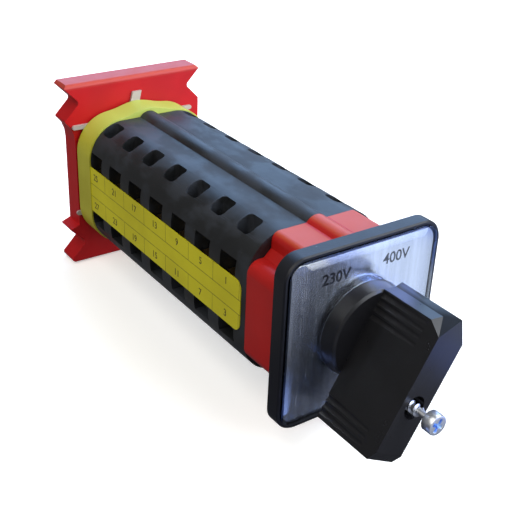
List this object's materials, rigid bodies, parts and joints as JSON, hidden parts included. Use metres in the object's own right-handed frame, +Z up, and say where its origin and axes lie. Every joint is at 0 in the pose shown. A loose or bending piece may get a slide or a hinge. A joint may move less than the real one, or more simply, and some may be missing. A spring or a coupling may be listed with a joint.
{
  "type": "rotary voltage selector switch",
  "caption": "Panel-mounted rotary cam switch with a pointer handle, a square legend plate, stacked contact stages and a rear plate.",
  "frame": {"origin": "on the shaft axis at the panel plane, the rear face of the front frame", "axes": "+Y along the shaft towards the rear plate, +Z up as mounted, +X to the right seen from behind the handle"},
  "size_m": [0.0484, 0.1561, 0.0615],
  "materials": {
    "black_plastic": "fine satin moulded black",
    "stage_plastic": "satin moulded black",
    "red_plastic": "satin moulded red",
    "yellow_plastic": "printed matt yellow",
    "white_plastic": "natural white",
    "natural_plastic": "natural low-friction plastic",
    "cam_plastic": "moulded cream plastic",
    "clear_plastic": "clear polished plastic",
    "brushed_plate": "brushed, printed in black",
    "zinc_screw": "bright zinc plated",
    "plated_steel": "plated steel",
    "spring_steel": "drawn spring wire",
    "contact_brass": "stamped brass with silver tips",
    "bush_brass": "turned brass",
    "die_cast": "die-cast"
  },
  "bodies": {
    "switch_body": {"legend_cover": "clear_plastic", "legend_plate": "brushed_plate", "front_frame": "black_plastic", "frame_screws": "zinc_screw", "front_housing": "red_plastic", "stop_pins": "plated_steel", "stage_1": "stage_plastic", "stage_2": "stage_plastic", "stage_3": "stage_plastic", "stage_4": "stage_plastic", "stage_5": "stage_plastic", "stage_6": "stage_plastic", "stage_7": "stage_plastic", "fixed_contacts": "contact_brass", "terminal_clamps": "plated_steel", "terminal_screws": "zinc_screw", "label_strip": "yellow_plastic", "end_cover": "stage_plastic", "end_cap": "yellow_plastic", "rear_bush": "bush_brass", "retainer": "white_plastic", "tie_rods": "plated_steel", "tie_rod_nuts": "zinc_screw", "rear_plate": "red_plastic"},
    "rotor": {"handle": "black_plastic", "drive_disc": "die_cast", "disc_screw": "zinc_screw", "shaft": "plated_steel", "detent_wheel": "natural_plastic", "cam_1": "cam_plastic", "cam_2": "cam_plastic", "cam_3": "cam_plastic", "cam_4": "cam_plastic", "cam_5": "cam_plastic", "cam_6": "cam_plastic", "cam_7": "cam_plastic"},
    "handle_screw": {"handle_screw": "zinc_screw"},
    "upper_contacts": {"upper_plungers": "natural_plastic", "upper_bridges": "contact_brass", "upper_springs": "spring_steel"},
    "lower_contacts": {"lower_plungers": "natural_plastic", "lower_bridges": "contact_brass", "lower_springs": "spring_steel"},
    "upper_detent": {"upper_detent_plunger": "natural_plastic", "upper_detent_roller": "plated_steel", "upper_detent_spring": "spring_steel"},
    "lower_detent": {"lower_detent_plunger": "natural_plastic", "lower_detent_roller": "plated_steel", "lower_detent_spring": "spring_steel"}
  },
  "joints": [
    {"name": "handle_turn", "type": "hinge", "parent": "switch_body", "child": "rotor", "pos_m": [0, 0, 0], "axis": [0, -1, 0], "range_deg": [0, 60]},
    {"name": "handle_screw_slide", "type": "slide", "parent": "rotor", "child": "handle_screw", "axis": [0, 1, 0], "range_m": [0, 0.013]},
    {"name": "upper_contacts_slide", "type": "slide", "parent": "switch_body", "child": "upper_contacts", "axis": [0, 0, 1], "range_m": [0, 0.00231], "deforming": ["upper_springs"]},
    {"name": "lower_contacts_slide", "type": "slide", "parent": "switch_body", "child": "lower_contacts", "axis": [0, 0, 1], "range_m": [0, 0.00231], "deforming": ["lower_springs"]},
    {"name": "upper_detent_slide", "type": "slide", "parent": "switch_body", "child": "upper_detent", "axis": [0, 0, 1], "range_m": [-0.00058, 0], "stiffness_N_per_m": 100, "springref_m": -0.003, "deforming": ["upper_detent_spring"]},
    {"name": "lower_detent_slide", "type": "slide", "parent": "switch_body", "child": "lower_detent", "axis": [0, 0, 1], "range_m": [0, 0.00058], "stiffness_N_per_m": 100, "springref_m": 0.003, "deforming": ["lower_detent_spring"]}
  ],
  "couplings": [
    {"joint": "upper_contacts_slide", "follows": "handle_turn", "m_per_rad": 0.0021963},
    {"joint": "lower_contacts_slide", "follows": "handle_turn", "m_per_rad": 0.0021963}
  ]
}
